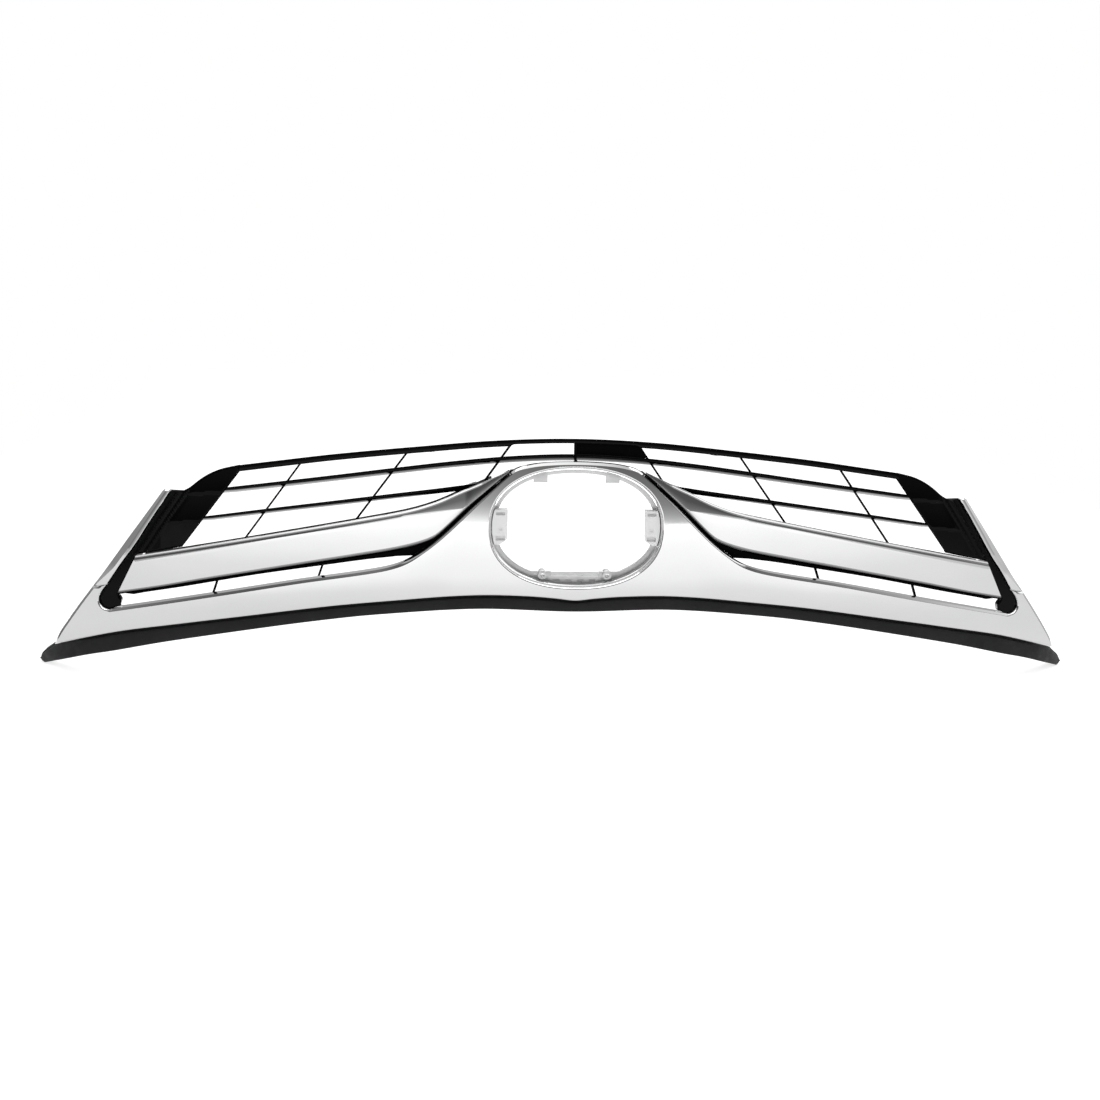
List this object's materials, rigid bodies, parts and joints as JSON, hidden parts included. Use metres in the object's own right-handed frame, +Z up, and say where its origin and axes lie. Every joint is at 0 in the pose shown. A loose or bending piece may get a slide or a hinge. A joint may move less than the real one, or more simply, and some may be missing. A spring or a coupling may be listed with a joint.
{
  "type": "front grille",
  "caption": "Wide car front grille with a chrome surround, central oval badge opening, chrome wing bars, slanted black slats and ribs, and a matt lower strip.",
  "frame": {"origin": "middle of the line through the two top bolt holes, at the upper face of their tabs", "axes": "+X to the grille's right seen from the front, -Y to the front of the car, +Z up"},
  "size_m": [1.126, 0.1741, 0.2616],
  "materials": {
    "chrome": "bright chrome plate on moulded plastic",
    "gloss_black": "gloss moulded black plastic",
    "satin_black": "satin moulded black plastic",
    "matt_black": "fine-grained matt charcoal plastic",
    "silver_plastic": "satin silver paint on moulded plastic",
    "clip_plastic": "dark grey nylon",
    "zinc_steel": "zinc-plated steel"
  },
  "bodies": {
    "root": {"top_rail": "gloss_black", "upper_slat_centre": "gloss_black", "upper_slat_left": "gloss_black", "upper_slat_right": "gloss_black", "middle_slat_left": "gloss_black", "middle_slat_right": "gloss_black", "ribs_left": "satin_black", "ribs_right": "satin_black", "centre_post": "satin_black", "centre_blank": "satin_black", "cheek_left": "gloss_black", "cheek_right": "gloss_black", "wing_carrier_left": "satin_black", "wing_carrier_right": "satin_black", "hub_carrier": "satin_black", "arm_carrier_left": "satin_black", "arm_carrier_right": "satin_black", "chrome_surround": "chrome", "surround_arm_left": "chrome", "surround_arm_right": "chrome", "upright_left": "chrome", "upright_right": "chrome", "wing_left": "chrome", "wing_right": "chrome", "badge_seat": "silver_plastic", "badge_clip_left": "silver_plastic", "badge_clip_right": "silver_plastic", "lower_strip": "matt_black", "strip_clips": "clip_plastic", "moulding_screws": "zinc_steel", "wing_push_nuts": "zinc_steel", "side_bracket_left": "satin_black", "side_bracket_right": "satin_black"}
  },
  "joints": []
}
